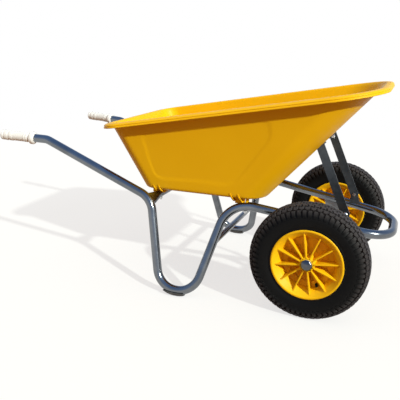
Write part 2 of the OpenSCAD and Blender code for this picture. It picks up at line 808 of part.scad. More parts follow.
// Half of the rim's section over its hub, web, barrel and flange: radius, then distance outboard.
module rim_half_profile() {
    polygon([
        [bush_r + seat_gap, 0], [bush_r + seat_gap, hub_half], [hub_r, hub_half], [hub_r + 3, web_half],
        [step_r, web_half], [step_r, step_half], [well_r - rim_wall, step_half],
        [well_r - rim_wall, well_half - 1], [barrel_r, bead_half + 1.5],
        [flange_r - 5.5, rim_half - 1], [flange_r - 3, rim_half], [flange_r, rim_half - 2],
        [flange_r, rim_half - 3.5], [flange_r - 2, rim_half - 4], [bead_r, bead_half],
        [bead_r, well_half + 4], [well_r, well_half], [well_r, 0]
    ]);
}

module rim_ribs() {
    in_r = (bush_r + hub_r) / 2;
    for (i = [0 : rim_ribs - 1]) rotate(360 * i / rim_ribs) rotate([90, 0, 0])
        translate([0, 0, -rim_rib_t / 2]) linear_extrude(rim_rib_t) for (s = [1, -1]) polygon([
            [in_r, 0], [in_r, s * hub_half], [hub_r, s * hub_half],
            [flange_r - 2.1 * rim_wall, s * (rim_half - 6.5)], [bead_r - 2, s * (bead_half + 1)],
            [bead_r - rim_wall, s * (well_half + 4)], [well_r - rim_wall / 2, 0]
        ]);
}

module right_rim() {
    color("gold") on_wheel() difference() {
        union() {
            rotate_extrude() rim_half_profile();
            mirror([0, 0, 1]) rotate_extrude() rim_half_profile();
            rim_ribs();
        }
        on_valve() cylinder(r = valve_r + bolt_gap, h = 2 * rim_wall + bead_r);
    }
}

// Children with +Z from the wheel's middle out along the valve.
module on_valve() {
    rotate(valve_turn) translate([0, 0, valve_side]) rotate([0, 90, 0])
        translate([0, 0, valve_in_r]) children();
}

// One side of the tyre's section, from the middle of the tread round the bead to the inside of the crown.
function side_wall(inset, a) = [tyre_mid_r + (tyre_rise - inset) * sin(a), (tyre_half - inset) * cos(a)];
tyre_side = concat(
    [[tyre_r, 0], [tyre_r - 0.5, tread_half * 0.35], [tyre_r - 2.5, tread_half * 0.7], [tyre_r - 7, tread_half]],
    [for (k = [0 : 7]) side_wall(0, mix(shoulder_turn, tyre_low, k / 7))],
    [
        [flange_r + 1.5, rim_half - 4], [flange_r - 2, rim_half - 4 - 2 * seat_gap],
        [bead_r + seat_gap, bead_half - 2 * seat_gap], [bead_r + seat_gap, bead_in]
    ],
    [for (a = [-50 : 10 : 90]) side_wall(tyre_wall, a)]);

module right_tyre() {
    other_side = [for (i = [len(tyre_side) - 2 : -1 : 1]) [tyre_side[i][0], -tyre_side[i][1]]];
    color("#222222") on_wheel() rotate_extrude() polygon(concat(tyre_side, other_side));
}

// The inner tube with its valve stem.
module right_inner_tube() {
    ro = tyre_rise - tyre_wall - side_gap;
    color("#181818") on_wheel() {
        rotate_extrude() translate([tyre_mid_r, 0]) ring(ro, ro - 2.5);
        difference() {
            on_valve() cylinder(r = valve_r, h = tyre_mid_r - valve_in_r - ro / 2);
            rotate_extrude() translate([tyre_mid_r, 0]) circle(ro - 1);
        }
    }
}

module right_bushes() {
    color("ivory") on_wheel() for (s = [0, 1]) mirror([0, 0, s]) rotate_extrude() polygon([
        [axle_r + run_gap, hub_half - bush_len], [bush_r, hub_half - bush_len], [bush_r, hub_half],
        [bush_flange_r, hub_half], [bush_flange_r, bush_end], [axle_r + run_gap, bush_end]
    ]);
}

from_axle() tray();
from_axle() right_frame_tube();
from_axle() left() right_frame_tube();  // left_frame_tube
from_axle() rear_cross_tube();
from_axle() leg_cross_bar();
from_axle() right_foot_shoe();
from_axle() left() right_foot_shoe();  // left_foot_shoe
from_axle() right_grip();
from_axle() left() right_grip();  // left_grip
from_axle() right_strut();
from_axle() left() right_strut();  // left_strut
from_axle() right_strut_lug();
from_axle() left() right_strut_lug();  // left_strut_lug
from_axle() axle();
from_axle() right_axle_bracket();
from_axle() left() right_axle_bracket();  // left_axle_bracket
from_axle() axle_spacers();
from_axle() axle_washers();
from_axle() right_hub_cap();
from_axle() left() right_hub_cap();  // left_hub_cap
from_axle() tray_bolts();
from_axle() tray_washers();
from_axle() tray_nuts();
from_axle() strut_top_bolts();
from_axle() strut_top_washers();
from_axle() strut_top_nuts();
from_axle() strut_lug_bolts();
from_axle() strut_lug_nuts();
from_axle() right_rim();
from_axle() right_tyre();
from_axle() right_inner_tube();
from_axle() right_bushes();
from_axle() left() right_rim();  // left_rim
from_axle() left() right_tyre();  // left_tyre
from_axle() left() right_inner_tube();  // left_inner_tube
from_axle() left() right_bushes();  // left_bushes
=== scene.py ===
"""Looks of a two wheel wheelbarrow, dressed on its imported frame.

Metres, +X forward, +Y to the left, +Z up, with the ground at Z = 0.
Sizes in the lists below are millimetres, and places along X are measured from the axle.
"""

import json
import math

import bpy
from mathutils import Matrix, Vector


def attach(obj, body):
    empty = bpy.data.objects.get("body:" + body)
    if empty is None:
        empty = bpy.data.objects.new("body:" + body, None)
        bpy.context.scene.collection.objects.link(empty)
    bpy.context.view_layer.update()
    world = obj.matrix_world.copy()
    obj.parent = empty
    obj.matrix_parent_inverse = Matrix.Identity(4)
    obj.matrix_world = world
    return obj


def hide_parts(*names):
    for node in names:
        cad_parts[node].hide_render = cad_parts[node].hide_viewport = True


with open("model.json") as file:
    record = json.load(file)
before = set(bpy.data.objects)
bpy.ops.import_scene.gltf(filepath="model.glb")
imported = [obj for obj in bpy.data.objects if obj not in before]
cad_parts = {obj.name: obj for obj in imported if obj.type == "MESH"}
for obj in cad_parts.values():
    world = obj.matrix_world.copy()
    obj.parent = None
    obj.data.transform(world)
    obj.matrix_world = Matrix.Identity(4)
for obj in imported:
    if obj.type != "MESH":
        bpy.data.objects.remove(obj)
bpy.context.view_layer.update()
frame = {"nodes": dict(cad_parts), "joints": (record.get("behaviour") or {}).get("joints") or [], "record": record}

MM = 0.001
TUBE_SIDES, BEND_STEP = 40, 5.0
WHEEL_MIDDLE = {j["child"]: Vector(j["pos_m"]) for j in frame["joints"]}
AXLE_X = WHEEL_MIDDLE["right_wheel"].x
AXLE_Z = WHEEL_MIDDLE["right_wheel"].z


def spot(x, y, z):
    """A place in the frame, from millimetres with X measured from the axle."""
    return Vector((AXLE_X + x * MM, y * MM, z * MM))


# ---------------------------------------------------------------- hand tools

def clear_selection():
    if bpy.context.mode != "OBJECT":
        bpy.ops.object.mode_set(mode="OBJECT")
    bpy.ops.object.select_all(action="DESELECT")


def take(piece):
    clear_selection()
    piece.select_set(True)
    bpy.context.view_layer.objects.active = piece


def open_all(piece):
    take(piece)
    bpy.ops.object.mode_set(mode="EDIT")
    bpy.ops.mesh.select_all(action="SELECT")


def close_mesh(piece):
    """Merges doubles, turns the faces outwards and goes back to object mode."""
    open_all(piece)
    bpy.ops.mesh.remove_doubles(threshold=1e-6)
    bpy.ops.mesh.normals_make_consistent(inside=False)
    bpy.ops.object.mode_set(mode="OBJECT")


def settle(piece, kind, **values):
    """Adds a modifier and applies it."""
    modifier = piece.modifiers.new(kind.lower(), kind)
    for key, value in values.items():
        setattr(modifier, key, value)
    take(piece)
    bpy.ops.object.modifier_apply(modifier=modifier.name)


def soften(piece, degrees=35):
    take(piece)
    bpy.ops.object.shade_smooth_by_angle(angle=math.radians(degrees))


def named(piece, name):
    piece.name = name
    piece.data.name = name
    return piece


def join(first, *others):
    take(first)
    for piece in others:
        piece.select_set(True)
    bpy.ops.object.join()
    return first


def left_copy(piece, name):
    """A piece of the right side, copied and mirrored to the left side."""
    twin = piece.copy()
    twin.data = piece.data.copy()
    bpy.context.scene.collection.objects.link(twin)
    named(twin, name)
    twin.data.transform(Matrix.Diagonal((1, -1, 1, 1)))
    twin.data.flip_normals()
    return twin


def fit(piece, body, slot, material, *nodes):
    """The piece's finish, the body that carries it and the plain solids that it stands for."""
    piece.data.materials.clear()
    piece.data.materials.append(material)
    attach(piece, body)
    if nodes:
        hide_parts(*nodes)


def round_corners(points, radii, steps=5):
    """A closed flat outline with each corner replaced by a small curve."""
    outline, count = [], len(points)
    for i, radius in enumerate(radii):
        corner = Vector(points[i])
        if radius == 0:
            outline.append(corner)
            continue
        back, ahead = Vector(points[i - 1]) - corner, Vector(points[(i + 1) % count]) - corner
        reach = min(radius, 0.45 * back.length, 0.45 * ahead.length)
        start, end = corner + back.normalized() * reach, corner + ahead.normalized() * reach
        for k in range(steps + 1):
            t = k / steps
            outline.append(start * (1 - t) ** 2 + corner * 2 * t * (1 - t) + end * t * t)
    return outline


def lathe(name, section, centre, along, steps):
    """A closed section of (radius, distance along) in millimetres, turned round a line."""
    along = Vector(along).normalized()
    out = along.orthogonal().normalized()
    clear_selection()
    bpy.ops.mesh.primitive_circle_add(vertices=len(section), radius=0.1)
    piece = named(bpy.context.object, name)
    for vertex, (radius, distance) in zip(piece.data.vertices, section):
        vertex.co = centre + out * radius * MM + along * distance * MM
    open_all(piece)
    bpy.ops.mesh.spin(steps=steps, angle=math.tau, center=centre, axis=along, use_auto_merge=True)
    bpy.ops.object.mode_set(mode="OBJECT")
    close_mesh(piece)
    return piece


def ring_of_copies(piece, count, centre, along):
    """Repeats all of a piece round a line, count times in all."""
    open_all(piece)
    bpy.ops.mesh.spin(steps=count - 1, dupli=True, angle=math.tau * (count - 1) / count,
                      center=centre, axis=along)
    bpy.ops.object.mode_set(mode="OBJECT")


def bent_tube(name, corners, bends, radius, capped=False):
    """A tube drawn along its corners: straight runs are extruded and bends are spun."""
    heading = (corners[1] - corners[0]).normalized()
    clear_selection()
    bpy.ops.mesh.primitive_circle_add(vertices=TUBE_SIDES, radius=radius, fill_type="NOTHING",
                                      location=corners[0],
                                      rotation=heading.to_track_quat("Z", "Y").to_euler())
    tube = named(bpy.context.object, name)
    bpy.ops.object.transform_apply(location=True, rotation=True, scale=True)
    open_all(tube)
    if capped:
        bpy.ops.mesh.edge_face_add()
        bpy.ops.mesh.select_all(action="SELECT")
    at = corners[0]
    for i in range(1, len(corners) - 1):
        into = (corners[i] - corners[i - 1]).normalized()
        out = (corners[i + 1] - corners[i]).normalized()
        turn = into.angle(out)
        reach = bends[i] * math.tan(turn / 2)
        start = corners[i] - into * reach
        axis = into.cross(out).normalized()
        centre = start + axis.cross(into) * bends[i]
        bpy.ops.mesh.extrude_region_move(TRANSFORM_OT_translate={"value": start - at})
        bpy.ops.mesh.spin(steps=max(4, round(math.degrees(turn) / BEND_STEP)), angle=turn,
                          center=centre, axis=-axis)
        at = corners[i] + out * reach
    bpy.ops.mesh.extrude_region_move(TRANSFORM_OT_translate={"value": corners[-1] - at})
    bpy.ops.object.mode_set(mode="OBJECT")
    close_mesh(tube)
    return tube


# ---------------------------------------------------------------- finishes

class Finish:
    """A procedural finish on Object coordinates, built up from noise, ramps and bump."""

    def __init__(self, name, **sockets):
        self.material = bpy.data.materials.new(name)
        self.material.use_nodes = True
        self.nodes = self.material.node_tree.nodes
        self.shader = self.nodes["Principled BSDF"]
        self.place = self.nodes.new("ShaderNodeTexCoord").outputs["Object"]
        self.height = None
        for key, value in sockets.items():
            self.shader.inputs[key.replace("_", " ")].default_value = value

    def link(self, source, target):
        self.material.node_tree.links.new(source, target)

    def noise(self, scale, detail=3.0, rough=0.5):
        node = self.nodes.new("ShaderNodeTexNoise")
        node.inputs["Scale"].default_value = scale
        node.inputs["Detail"].default_value = detail
        node.inputs["Roughness"].default_value = rough
        self.link(self.place, node.inputs["Vector"])
        return node.outputs[0]

    def cells(self, scale):
        node = self.nodes.new("ShaderNodeTexVoronoi")
        node.inputs["Scale"].default_value = scale
        self.link(self.place, node.inputs["Vector"])
        return node.outputs["Color"]

    def ramp(self, source, *stops):
        node = self.nodes.new("ShaderNodeValToRGB")
        band = node.color_ramp
        while len(band.elements) < len(stops):
            band.elements.new(0.5)
        for element, (at, colour) in zip(band.elements, stops):
            element.position = at
            element.color = (*colour, 1.0)
        self.link(source, node.inputs["Fac"])
        return node.outputs["Color"]

    def between(self, source, low, high, start=0.3, end=0.7):
        node = self.nodes.new("ShaderNodeMapRange")
        for key, value in (("From Min", start), ("From Max", end), ("To Min", low), ("To Max", high)):
            node.inputs[key].default_value = value
        self.link(source, node.inputs["Value"])
        return node.outputs["Result"]

    def colour(self, source):
        self.link(source, self.shader.inputs["Base Color"])

    def roughness(self, source):
        self.link(source, self.shader.inputs["Roughness"])

    def bump(self, source, strength, distance):
        node = self.nodes.new("ShaderNodeBump")
        node.inputs["Strength"].default_value = strength
        node.inputs["Distance"].default_value = distance
        self.link(source, node.inputs["Height"])
        if self.height:
            self.link(self.height, node.inputs["Normal"])
        self.height = node.outputs["Normal"]
        self.link(self.height, self.shader.inputs["Normal"])


def yellow_plastic(name, pale, deep, specular):
    finish = Finish(name, Specular_IOR_Level=specular)
    finish.colour(finish.ramp(finish.noise(5.0, 4.0), (0.3, deep), (0.7, pale)))
    finish.roughness(finish.between(finish.noise(38.0, 4.0), 0.36, 0.5))
    finish.bump(finish.noise(620.0, 2.0), 0.12, 0.0004)
    finish.bump(finish.noise(9.0, 2.0), 0.05, 0.004)
    return finish.material


def galvanised(name):
    finish = Finish(name, Metallic=1.0)
    finish.colour(finish.ramp(finish.noise(14.0, 3.0), (0.35, (0.15, 0.16, 0.172)),
                              (0.65, (0.2, 0.212, 0.226))))
    finish.roughness(finish.between(finish.cells(70.0), 0.17, 0.24, 0.0, 1.0))
    finish.bump(finish.noise(240.0, 2.0), 0.03, 0.0003)
    return finish.material


def dull_zinc(name, dark, light):
    finish = Finish(name, Metallic=0.85)
    finish.colour(finish.ramp(finish.noise(24.0, 5.0, 0.65), (0.32, dark), (0.68, light)))
    finish.roughness(finish.between(finish.noise(70.0, 4.0), 0.38, 0.56))
    finish.bump(finish.noise(420.0, 2.0), 0.08, 0.0003)
    return finish.material


def bright_zinc(name):
    finish = Finish(name, Metallic=1.0)
    finish.colour(finish.ramp(finish.noise(180.0, 3.0), (0.3, (0.5, 0.5, 0.5)), (0.7, (0.68, 0.68, 0.66))))
    finish.roughness(finish.between(finish.noise(220.0, 3.0), 0.2, 0.34))
    return finish.material


def chrome(name):
    finish = Finish(name, Metallic=1.0)
    finish.colour(finish.ramp(finish.noise(90.0, 2.0), (0.3, (0.085, 0.088, 0.095)),
                              (0.7, (0.115, 0.118, 0.125))))
    finish.roughness(finish.between(finish.noise(140.0, 3.0), 0.06, 0.14))
    return finish.material


def white_plastic(name):
    finish = Finish(name)
    finish.colour(finish.ramp(finish.noise(20.0, 3.0), (0.3, (0.74, 0.75, 0.765)),
                              (0.7, (0.78, 0.79, 0.805))))
    finish.roughness(finish.between(finish.noise(120.0, 3.0), 0.4, 0.55))
    finish.bump(finish.noise(900.0, 2.0), 0.08, 0.0003)
    return finish.material


def black_rubber(name, dark, light):
    finish = Finish(name, Specular_IOR_Level=0.1)
    finish.colour(finish.ramp(finish.noise(34.0, 5.0, 0.6), (0.3, dark), (0.7, light)))
    finish.roughness(finish.between(finish.noise(80.0, 4.0), 0.5, 0.7))
    finish.bump(finish.noise(700.0, 3.0), 0.12, 0.0004)
    return finish.material


# Between these distances from the axle the tyre is painted paler: painted light standing in for the light that
# falls on the tread.
TREAD_LIGHT_FROM, TREAD_LIGHT_TO = 168 * MM, 199 * MM


def tyre_rubber(name):
    """Black side walls and a tread painted paler outwards, by the distance from the axle: painted light standing
    in for the light that falls on the tread.
    """
    finish = Finish(name, Specular_IOR_Level=0.1)
    mapping = finish.nodes.new("ShaderNodeMapping")
    mapping.inputs["Location"].default_value = (-AXLE_X, 0, -AXLE_Z)
    mapping.inputs["Scale"].default_value = (1, 0, 1)
    away = finish.nodes.new("ShaderNodeVectorMath")
    away.operation = "LENGTH"
    finish.link(finish.place, mapping.inputs["Vector"])
    finish.link(mapping.outputs["Vector"], away.inputs[0])
    # Painted light: the share of the paler tread colour, growing from the side walls to the crown.
    painted_light_share = finish.between(away.outputs["Value"], 0.0, 1.0, TREAD_LIGHT_FROM, TREAD_LIGHT_TO)
    finish.colour(finish.ramp(painted_light_share, (0.0, (0.0035, 0.0033, 0.0033)), (0.5, (0.034, 0.032, 0.034)),
                              (1.0, (0.05, 0.047, 0.052))))
    finish.roughness(finish.between(finish.noise(80.0, 4.0), 0.5, 0.7))
    finish.bump(finish.noise(700.0, 3.0), 0.12, 0.0004)
    return finish.material


def dark_plastic(name):
    finish = Finish(name)
    finish.colour(finish.ramp(finish.noise(55.0, 5.0, 0.7), (0.35, (0.035, 0.037, 0.04)),
                              (0.7, (0.1, 0.1, 0.1))))
    finish.roughness(finish.between(finish.noise(90.0, 4.0), 0.5, 0.7))
    finish.bump(finish.noise(300.0, 4.0), 0.2, 0.0005)
    return finish.material


def ivory_plastic(name):
    finish = Finish(name)
    finish.colour(finish.ramp(finish.noise(80.0, 3.0), (0.3, (0.6, 0.57, 0.48)), (0.7, (0.7, 0.67, 0.58))))
    finish.roughness(finish.between(finish.noise(150.0, 3.0), 0.4, 0.55))
    return finish.material


TRAY_YELLOW = yellow_plastic("tray_yellow", (0.84, 0.475, 0.004), (0.81, 0.45, 0.003), 0.15)
RIM_YELLOW = yellow_plastic("rim_yellow", (0.87, 0.51, 0.005), (0.84, 0.48, 0.004), 0.2)
TUBE_STEEL = galvanised("galvanised_tube")
STRUT_ZINC = dull_zinc("dark_zinc", (0.045, 0.053, 0.062), (0.08, 0.09, 0.1))
AXLE_ZINC = dull_zinc("plain_zinc", (0.22, 0.23, 0.24), (0.34, 0.35, 0.36))
BOLT_ZINC = bright_zinc("bright_zinc")
CAP_CHROME = chrome("cap_chrome")
GRIP_WHITE = white_plastic("grip_white")
SHOE_GREY = dark_plastic("shoe_grey")
TYRE_BLACK = tyre_rubber("tyre_black")
INNER_BLACK = black_rubber("inner_tube_black", (0.008, 0.008, 0.008), (0.016, 0.016, 0.016))
BUSH_IVORY = ivory_plastic("bush_ivory")

SLOT_FINISH = {
    "tray_plastic": TRAY_YELLOW, "tube_steel": TUBE_STEEL, "shoe_plastic": SHOE_GREY,
    "grip_plastic": GRIP_WHITE, "strut_steel": STRUT_ZINC, "axle_steel": AXLE_ZINC,
    "fastener_zinc": BOLT_ZINC, "cap_chrome": CAP_CHROME, "rim_plastic": RIM_YELLOW,
    "tyre_rubber": TYRE_BLACK, "tube_rubber": INNER_BLACK, "bush_plastic": BUSH_IVORY,
}
for part in frame["record"]["subparts"]:
    solid = frame["nodes"][part["node"]]
    solid.data.materials.clear()
    solid.data.materials.append(SLOT_FINISH[part["material_slot"]])


# ---------------------------------------------------------------- frame tubes

TUBE_R = 16 * MM
FOOT_Z = 20
RAIL_CORNERS = [
    spot(-1233, -304.3, 528.7), spot(-1047, -278, 519), spot(-600, -282, 335),
    spot(-538, -352, FOOT_Z), spot(-403, -352, FOOT_Z), spot(-323, -202, 334),
    spot(246, -134, 246), spot(246, 0, 246),
]
RAIL_BENDS = [r * MM for r in (0, 60, 85, 80, 80, 106, 112, 0)]
FOOT_REAR, FOOT_FRONT, LEG_FRONT = 3, 4, 5
RUN_SHARE = 0.495


def foot_bend(corner):
    """The largest bend radius that the short run of the foot leaves room for."""
    into = (RAIL_CORNERS[corner] - RAIL_CORNERS[corner - 1]).normalized()
    out = (RAIL_CORNERS[corner + 1] - RAIL_CORNERS[corner]).normalized()
    runs = [(RAIL_CORNERS[i + 1] - RAIL_CORNERS[i]).length for i in (corner - 1, corner)]
    return RUN_SHARE * min(runs) / math.tan(into.angle(out) / 2)


for corner in (FOOT_REAR, FOOT_FRONT):
    RAIL_BENDS[corner] = min(RAIL_BENDS[corner], foot_bend(corner))


def frame_tubes():
    right = bent_tube("right_bent_tube", RAIL_CORNERS, RAIL_BENDS, TUBE_R)
    soften(right)
    left = left_copy(right, "left_bent_tube")
    fit(right, "frame", "tube_steel", TUBE_STEEL, "right_frame_tube")
    fit(left, "frame", "tube_steel", TUBE_STEEL, "left_frame_tube")


frame_tubes()


# ---------------------------------------------------------------- grips

def grips():
    """A moulded sleeve with two broad rings behind, two fine ones in front, a neck and a round collar."""
    outer = [(0, 0), (15.5, 0), (19.3, 3), (19.3, 9.5), (18.2, 12), (18.2, 14), (19.6, 17), (19.6, 29),
             (18.2, 32), (18.2, 35), (19.6, 38), (19.6, 48), (18.4, 51.5), (18.1, 75), (18.4, 98),
             (19.2, 99.5), (19.2, 103), (18.3, 104.5), (18.3, 107), (19.2, 108.5), (19.2, 112), (17.9, 114.5),
             (17.9, 121), (24.8, 125), (24.8, 137.5), (19.2, 143), (16.1, 143), (16.1, 5), (0, 5)]
    bends = [0, 2, 3] + [2] * 9 + [3, 20, 2] + [1] * 7 + [1.5, 4.5, 4.5, 1.5, 0.8, 0, 0]
    section = round_corners(outer, bends)
    tip = spot(-1238, -305, 529)
    sleeve = lathe("right_ribbed_grip", section, tip, RAIL_CORNERS[1] - tip, 64)
    soften(sleeve, 40)
    other = left_copy(sleeve, "left_ribbed_grip")
    fit(sleeve, "frame", "grip_plastic", GRIP_WHITE, "right_grip")
    fit(other, "frame", "grip_plastic", GRIP_WHITE, "left_grip")


grips()


# ---------------------------------------------------------------- tray

TRAY_BACK, TRAY_REACH, TRAY_HALF = 826, 193, 294
FLOOR_BACK, FLOOR_FRONT, FLOOR_HALF = 673, 190, 222
FLOOR_Z, FLOOR_EDGE, TRAY_WALL = 351.862, 14, 4.5
RIM_REAR_Z, RIM_FRONT_Z = FLOOR_Z + 236, FLOOR_Z + 410
LIP_W, LIP_FRONT_W, LIP_REAR_W, LIP_H = 35, 25, 30, 17
FLOOR_REAR_R, FLOOR_FRONT_R = 52, 84
RIM_REAR_R, RIM_FRONT_R = 95, 175
RIM_TILT = math.atan2(RIM_FRONT_Z - RIM_REAR_Z, TRAY_BACK + TRAY_REACH)
RIM_LEN = math.hypot(RIM_FRONT_Z - RIM_REAR_Z, TRAY_BACK + TRAY_REACH)
CORNER_STEPS = 14
SIDE_COLUMNS, END_COLUMNS = 96, 20
WALL_ROWS, EDGE_ROWS = 40, 5
# The walls stop this far below the rim's plane. There they have come in by this much more than the lip
# and the wall's thickness, at the rear, the sides and the front.
WALL_END = 5
INNER_COME_IN, OUTER_COME_IN = (3, 0.5, 5), (2, 0.6, 4)


def wall_angle(run, rise):
    """Slope of a wall that runs down from the lip and touches the round edge of the floor."""
    return math.atan2(rise, run) + math.asin(FLOOR_EDGE / math.hypot(run, rise))


def rim_point(along):
    """X and Z of a place on the rim's plane, by the distance from its rear edge."""
    return (-TRAY_BACK + along * math.cos(RIM_TILT), RIM_REAR_Z + along * math.sin(RIM_TILT))


front_top, rear_top = rim_point(RIM_LEN - LIP_FRONT_W), rim_point(LIP_REAR_W)
EDGE_Z = FLOOR_Z + FLOOR_EDGE
FRONT_ANGLE = wall_angle(front_top[0] + FLOOR_FRONT + FLOOR_EDGE, front_top[1] - EDGE_Z)
REAR_ANGLE = wall_angle(-rear_top[0] - FLOOR_BACK + FLOOR_EDGE, rear_top[1] - EDGE_Z)
SIDE_ANGLE = wall_angle(TRAY_HALF - LIP_W - FLOOR_HALF + FLOOR_EDGE,
                        (front_top[1] + rear_top[1]) / 2 - EDGE_Z)


def around(place_corner):
    """Points round the tray: four curved corners, with straight stretches between them."""
    corners = [[place_corner(q, 90 * q + 90 * k / CORNER_STEPS) for k in range(CORNER_STEPS + 1)]
               for q in range(4)]
    ring = []
    for q, columns in enumerate((SIDE_COLUMNS, END_COLUMNS, SIDE_COLUMNS, END_COLUMNS)):
        ring += corners[q]
        start, end = corners[q][-1], corners[(q + 1) % 4][0]
        ring += [start.lerp(end, k / columns) for k in range(1, columns)]
    return ring + [ring[0]]


def corner_place(q, degrees, rear, front, half, rear_r, front_r, inset):
    """A place on corner q of a rounded outline, seen from above and moved in by inset."""
    ahead, turn = q in (0, 3), math.radians(degrees)
    radius = front_r if ahead else rear_r
    return Vector(((front - radius if ahead else rear + radius) + (radius - inset) * math.cos(turn),
                   (half - radius if q < 2 else radius - half) + (radius - inset) * math.sin(turn)))


def floor_ring(radius, part):
    """A ring on the round edge of the floor: part runs from 0 on the floor to 1 on the wall."""
    def place(q, degrees):
        lean = math.cos(math.radians(degrees)) ** 2
        slope = lean * (FRONT_ANGLE if q in (0, 3) else REAR_ANGLE) + (1 - lean) * SIDE_ANGLE
        p = corner_place(q, degrees, -FLOOR_BACK, -FLOOR_FRONT, FLOOR_HALF, FLOOR_REAR_R, FLOOR_FRONT_R,
                         FLOOR_EDGE - radius * math.sin(part * slope))
        return Vector((p.x, p.y, FLOOR_Z + FLOOR_EDGE - radius * math.cos(part * slope)))
    return around(place)


def rim_ring(rear_in, side_in, front_in, lift):
    """A ring parallel to the rim, inside its edge and above its plane by lift."""
    def place(q, degrees):
        p = corner_place(q, degrees, rear_in, RIM_LEN - front_in, TRAY_HALF - side_in,
                         max(RIM_REAR_R - side_in, 1), max(RIM_FRONT_R - side_in, 1), 0)
        return Vector((p.x * math.cos(RIM_TILT) - lift * math.sin(RIM_TILT) - TRAY_BACK, p.y,
                       RIM_REAR_Z + p.x * math.sin(RIM_TILT) + lift * math.cos(RIM_TILT)))
    return around(place)


def lip_rings(shape):
    """Rings of the lip, whose section is narrower at the front and the rear."""
    rear, front = LIP_REAR_W / LIP_W, LIP_FRONT_W / LIP_W
    return [rim_ring(inset * rear, inset, inset * front, lift) for inset, lift in shape]


def wall_rows(low, high):
    """Rows between two rings, both ends left out."""
    return [[a.lerp(b, k / WALL_ROWS) for a, b in zip(low, high)] for k in range(1, WALL_ROWS)]


PANEL = [(-652, 565), (-610, 400), (-300, 404), (-165, 585), (-172, 648)]
PANEL_CORNER, PANEL_BORDER, PANEL_DEPTH = 34, 5.5, 1.3


def panel_share(x, z, outline):
    """How far a place on the side wall lies inside the panel: 0 outside, 1 inside its border."""
    inside, nearest = False, 1e9
    for i, b in enumerate(outline):
        a = outline[i - 1]
        if (a.y > z) != (b.y > z) and x < (b.x - a.x) * (z - a.y) / (b.y - a.y) + a.x:
            inside = not inside
        run = b - a
        t = max(0, min(1, (Vector((x, z)) - a).dot(run) / max(run.length_squared, 1e-9)))
        nearest = min(nearest, (Vector((x, z)) - a - run * t).length)
    t = max(0, min(1, (nearest if inside else -nearest) / PANEL_BORDER + 0.5))
    return t * t * (3 - 2 * t)


def wall_end(ratio, come_in, drop):
    """The ring where a wall meets the lip: ratio is the sine inside and the tangent outside."""
    slopes = REAR_ANGLE + RIM_TILT, SIDE_ANGLE, FRONT_ANGLE - RIM_TILT
    widths = LIP_REAR_W, LIP_W, LIP_FRONT_W
    insets = [width + TRAY_WALL / ratio(slope) + more for width, slope, more in zip(widths, slopes, come_in)]
    return rim_ring(*insets, -drop)


def tray_skin():
    """The floor, the walls and the rolled lip, as one skin from the inside of the floor to its underside."""
    inner_low, outer_low = floor_ring(FLOOR_EDGE - TRAY_WALL, 1), floor_ring(FLOOR_EDGE, 1)
    inner_high = wall_end(math.sin, INNER_COME_IN, WALL_END)
    outer_high = wall_end(math.tan, OUTER_COME_IN, TRAY_WALL + WALL_END)
    lip_top = [(38.5, -1.6), (36, -0.3), (32, 0), (26, 0), (20, -0.25), (14, -0.9), (9.5, -2.0), (6, -3.6),
               (3.4, -5.6), (2.0, -7.7), (2.2, -8.7), (3.0, -9.4), (3.0, -10.2), (2.0, -10.9),
               (1.2, -11.9), (0.9, -13.1), (0.1, -14.0), (0, -15.2), (0.5, -16.4), (1.8, -LIP_H),
               (3.0, -16.8), (4.0, -16.1)]
    lip_under = [(4.9, -14.5), (5.6, -12), (7.0, -9.2), (9.6, -7.1), (13, -5.8), (19, -4.9), (26, -4.5),
                 (31, -4.5), (33.6, -5.2), (35, -7)]
    rings = [floor_ring(FLOOR_EDGE - TRAY_WALL, t / EDGE_ROWS) for t in range(EDGE_ROWS + 1)]
    inner_wall = wall_rows(inner_low, inner_high)
    rings += inner_wall + [inner_high] + lip_rings(lip_top) + lip_rings(lip_under) + [outer_high]
    outer_wall = wall_rows(outer_low, outer_high)[::-1]
    rings += outer_wall + [floor_ring(FLOOR_EDGE, t / EDGE_ROWS) for t in range(EDGE_ROWS, -1, -1)]

    outline = round_corners(PANEL, [PANEL_CORNER] * len(PANEL), 6)
    side_middle = range(CORNER_STEPS, CORNER_STEPS + SIDE_COLUMNS + 1)
    half_turn = 2 * (CORNER_STEPS + 1) + SIDE_COLUMNS + END_COLUMNS - 2
    for row in inner_wall + outer_wall:
        for j in side_middle:
            for p, sign in ((row[j], 1), (row[j + half_turn], -1)):
                p.y -= sign * PANEL_DEPTH * panel_share(p.x, p.z, outline)

    columns = len(rings[0]) - 1
    clear_selection()
    bpy.ops.mesh.primitive_grid_add(x_subdivisions=columns, y_subdivisions=len(rings) - 1, size=2)
    tray = named(bpy.context.object, "moulded_tray")
    for vertex in tray.data.vertices:
        j = round((vertex.co.x + 1) / 2 * columns)
        i = round((vertex.co.y + 1) / 2 * (len(rings) - 1))
        vertex.co = spot(*rings[i][j])
    open_all(tray)
    bpy.ops.mesh.remove_doubles(threshold=1e-6)
    bpy.ops.mesh.select_all(action="DESELECT")
    bpy.ops.mesh.select_non_manifold(extend=False)
    bpy.ops.mesh.fill_holes(sides=0)
    bpy.ops.mesh.select_all(action="SELECT")
    bpy.ops.mesh.normals_make_consistent(inside=False)
    bpy.ops.object.mode_set(mode="OBJECT")
    return tray


def boss(name, low, high, cutter):
    """A saddle block under the floor, rounded at its edges and cut to sit on its tube."""
    clear_selection()
    bpy.ops.mesh.primitive_cube_add(size=1, location=(low + high) / 2, scale=high - low)
    block = named(bpy.context.object, name)
    bpy.ops.object.transform_apply(location=True, rotation=True, scale=True)
    settle(block, "BEVEL", width=2.5 * MM, segments=3, limit_method="ANGLE")
    settle(block, "BOOLEAN", object=cutter, operation="DIFFERENCE", solver="EXACT")
    return block


FIN_THICK, FIN_LEAN = 6, 0.35
BOSS_FINS = ((-318, 338), (-289, 335), (-624, 343), (-603, 343))


